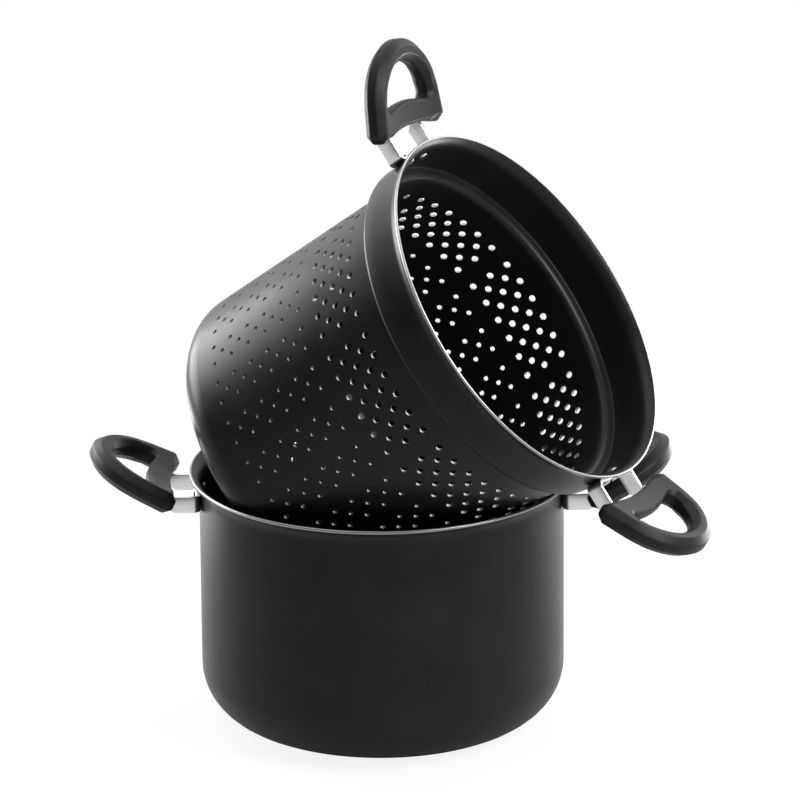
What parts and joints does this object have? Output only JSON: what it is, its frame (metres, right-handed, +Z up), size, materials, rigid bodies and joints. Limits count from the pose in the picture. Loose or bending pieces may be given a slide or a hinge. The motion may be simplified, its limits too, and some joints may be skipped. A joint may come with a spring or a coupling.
{
  "type": "pasta pot with strainer insert",
  "caption": "Black coated cooking pot with loop handles and a perforated strainer insert that leans in its mouth and lifts out to drain pasta.",
  "frame": {"origin": "centre of the pot's flat underside, on the surface it stands on", "axes": "+Z up along the pot's axis, +X to the right-hand pot handle, -Y to the side the picture was taken from"},
  "size_m": [0.404, 0.2885, 0.4583],
  "materials": {
    "coated_pot": "black non-stick coating with a bare bright lip edge",
    "coated_strainer": "black non-stick coating with a bare bright lip edge",
    "strap_steel": "bright brushed",
    "handle_plastic": "satin black moulding",
    "rivet_metal": "bright"
  },
  "bodies": {
    "pot": {"pot_shell": "coated_pot", "pot_right_strap": "strap_steel", "pot_right_handle": "handle_plastic", "pot_right_rivets": "rivet_metal", "pot_left_strap": "strap_steel", "pot_left_handle": "handle_plastic", "pot_left_rivets": "rivet_metal"},
    "strainer_insert": {"strainer_shell": "coated_strainer", "strainer_upper_strap": "strap_steel", "strainer_upper_handle": "handle_plastic", "strainer_upper_rivets": "rivet_metal", "strainer_lower_strap": "strap_steel", "strainer_lower_handle": "handle_plastic", "strainer_lower_rivets": "rivet_metal"}
  },
  "joints": [
    {"name": "insert_lift", "type": "slide", "parent": "pot", "child": "strainer_insert", "axis": [0, 0, 1], "range_m": [0, 0.24]}
  ]
}
